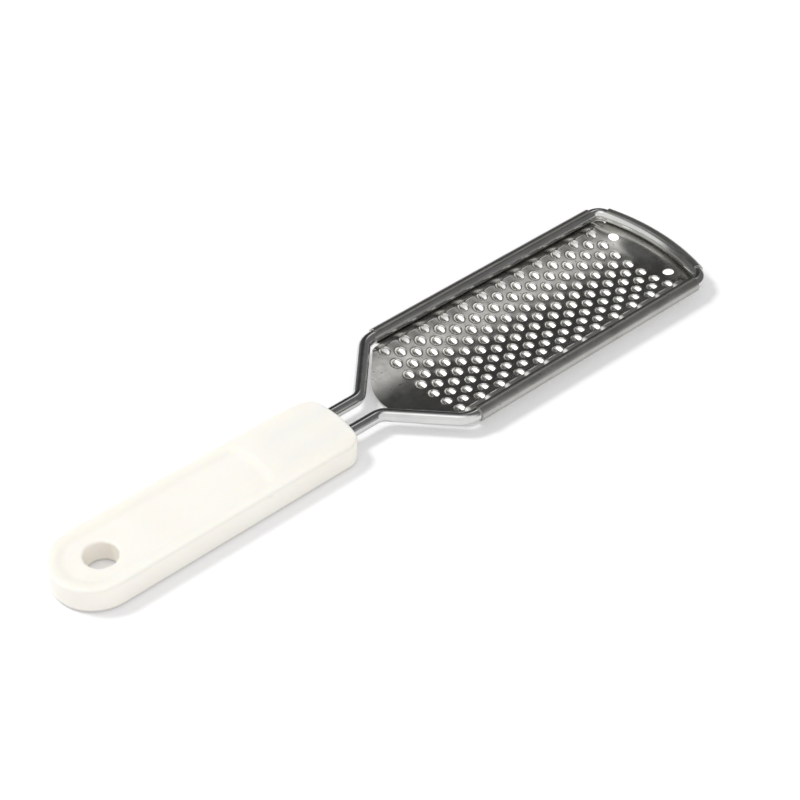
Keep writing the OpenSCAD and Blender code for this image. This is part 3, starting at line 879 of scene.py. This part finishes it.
def ivory_plastic():
    """Warm white moulded plastic, with painted shade along the lower edge, darker towards the floor."""
    made, tree, shader = material("ivory_plastic")
    colour = tint(tree, noise(tree, 40, 3), (0.925, 0.892, 0.825), (0.945, 0.914, 0.85))
    # Painted shade: the colour is halved 0.3 mm above the floor and back to full by 1.4 mm, standing in for
    # the contact shadow
    lower_edge_shade = spread(tree, parts(tree, in_object(tree))["Z"], 0.5, 1.0, 0.3 * MM, 1.4 * MM)
    tree.links.new(shaded(tree, colour, lower_edge_shade), shader.inputs["Base Color"])
    tree.links.new(spread(tree, noise(tree, 400, 4), 0.32, 0.42), shader.inputs["Roughness"])
    shader.inputs["Subsurface Weight"].default_value = 0.35
    shader.inputs["Subsurface Radius"].default_value = (0.004, 0.003, 0.0018)
    shader.inputs["Subsurface Scale"].default_value = 0.8
    shader.inputs["IOR"].default_value = 1.49
    waves = bump(tree, shader, noise(tree, 60, 2), 0.06, 0.0004)
    bump(tree, shader, noise(tree, 2200, 3), 0.08, 0.00003, waves)
    return made


def floor_white():
    """Matt white. Part of its light is its own even glow, so its shadows stay light, and a painted glow
    lights the patch under the teeth.
    """
    made, tree, shader = material("floor_white")
    shader.inputs["Roughness"].default_value = 1.0
    shader.inputs["Specular IOR Level"].default_value = 0.0
    shader.inputs["Base Color"].default_value = (FLOOR_GREY, FLOOR_GREY, FLOOR_GREY * FLOOR_BLUE, 1)
    place = in_object(tree)
    xyz = parts(tree, place)
    # Painted light: a glowing patch on the floor under the plate, so the openings of the teeth show white
    sides = [spread(tree, xyz[axis], 0, 1, edge * MM, (edge + ramp) * MM)
             for axis, edges in (("X", PATCH_X), ("Y", PATCH_Y))
             for edge, ramp in zip(edges, (PATCH_EDGE, -PATCH_EDGE))]
    painted_glow = spread(tree, combine(tree, "MULTIPLY", *sides), FLOOR_GLOW, 1.0, 0, 1)
    # The key light fades away from the rasp, and the glow makes up for it
    away = tree.nodes.new("ShaderNodeVectorMath")
    away.operation = "LENGTH"
    tree.links.new(place, away.inputs[0])
    far = spread(tree, away.outputs["Value"], 0, FAR_GLOW, FAR_FROM, FAR_TO)
    shader.inputs["Emission Color"].default_value = (1, 1, 1, 1)
    tree.links.new(combine(tree, "ADD", painted_glow, far), shader.inputs["Emission Strength"])
    return made


# Floor, light and camera
def floor():
    """A square floor, just under the rasp."""
    mesh = bpy.data.meshes.new("floor")
    r = FLOOR_HALF
    mesh.from_pydata([(-r, -r, 0), (r, -r, 0), (r, r, 0), (-r, r, 0)], [], [(0, 1, 2, 3)])
    mesh.materials.append(floor_white())
    obj = bpy.data.objects.new("floor", mesh)
    bpy.context.collection.objects.link(obj)
    obj.location.z = -FLOOR_DROP * MM


def key_light():
    """A square light that shines on the rasp and makes no highlights."""
    light = bpy.data.lights.new("key", "AREA")
    light.shape = "SQUARE"
    light.size = KEY_SIZE
    light.energy = KEY_POWER
    obj = bpy.data.objects.new("key", light)
    obj.location = KEY_AT
    obj.rotation_euler = (-Vector(KEY_AT)).to_track_quat("-Z", "Y").to_euler()
    obj.visible_glossy = False
    bpy.context.collection.objects.link(obj)


def toward(tree, direction, vector, near, far):
    """1 where a vector points within near degrees of a direction, falling to 0 at far degrees."""
    node = tree.nodes.new("ShaderNodeVectorMath")
    node.operation = "DOT_PRODUCT"
    node.inputs[1].default_value = Vector(direction).normalized()
    tree.links.new(vector, node.inputs[0])
    return smooth(tree, node.outputs["Value"], cos(rad(far)), cos(rad(near)))


def studio(tree, vector):
    """What shiny surfaces reflect: a dim studio with a strip, a wide light, a lamp, a flag and pale walls."""
    x, y, z = parts(tree, vector)
    # Strip along the rasp, between two tilts about its long axis
    tilt = combine(tree, "ARCTAN2", y, z)
    rise, fall = smooth(tree, tilt, rad(7), rad(17)), smooth(tree, tilt, rad(38), rad(24))
    strip = combine(tree, "MULTIPLY", rise, fall, smooth(tree, z, 0.1, 0.4),
                    smooth(tree, x, 0.72, 0.50), smooth(tree, x, 0.37, 0.51), STRIP)
    # Wide light over and behind the camera
    slant = combine(tree, "ADD", x, combine(tree, "MULTIPLY", y, 0.6))
    wide = combine(tree, "MULTIPLY", smooth(tree, slant, 0.15, -0.3), smooth(tree, y, 0.70, 0.52), WIDE)
    lamp = combine(tree, "MULTIPLY", toward(tree, LAMP_AT, vector, 8, 26), LAMP)
    # Dark flag across from the camera
    flag = spread(tree, toward(tree, FLAG_AT, vector, 10, 30), 1.0, FLAG_SHADE, 0, 1)
    level = combine(tree, "MULTIPLY", combine(tree, "ADD", strip, wide, lamp, STUDIO), flag)
    return combine(tree, "ADD", level, combine(tree, "MULTIPLY", smooth(tree, z, 0.2, 0.0), WALLS))


def world():
    """White to the camera, soft light for matt surfaces, and the studio for shiny ones."""
    made = bpy.data.worlds.new("studio")
    bpy.context.scene.world = made
    made.use_nodes = True
    tree = made.node_tree
    vector = tree.nodes.new("ShaderNodeTexCoord").outputs["Generated"]
    path = tree.nodes.new("ShaderNodeLightPath").outputs
    glossy, seen = path["Is Glossy Ray"], path["Is Camera Ray"]
    front = combine(tree, "MULTIPLY", smooth(tree, parts(tree, vector)["Y"], 0.1, -0.7), FRONT_FILL)
    shiny = combine(tree, "MULTIPLY", glossy, studio(tree, vector))
    other = combine(tree, "SUBTRACT", 1.0, combine(tree, "MAXIMUM", glossy, seen))
    matt = combine(tree, "MULTIPLY", other, combine(tree, "ADD", FILL, front))
    background = tree.nodes["Background"]
    tree.links.new(combine(tree, "ADD", shiny, matt, seen), background.inputs["Strength"])
    background.inputs["Color"].default_value = (1, 1, 1, 1)


def camera():
    """The photograph's camera."""
    cam = bpy.data.cameras.new("camera")
    cam.sensor_width = SENSOR
    cam.lens = FOCAL_PX / PHOTO_PX * SENSOR
    cam.clip_start = CLIP
    obj = bpy.data.objects.new("camera", cam)
    az, el = CAMERA_AZ, CAMERA_EL
    back = Vector((sin(az) * cos(el), -cos(az) * cos(el), sin(el)))
    obj.location = Vector(CAMERA_AT) * MM
    obj.rotation_euler = back.to_track_quat("Z", "Y").to_euler()
    bpy.context.collection.objects.link(obj)
    bpy.context.scene.camera = obj


for make, finish in ((plate, plate_steel), (wire, wire_steel), (handle, ivory_plastic)):
    make().data.materials.append(finish())
floor()
world()
key_light()
camera()
bpy.context.scene.view_settings.view_transform = "Standard"
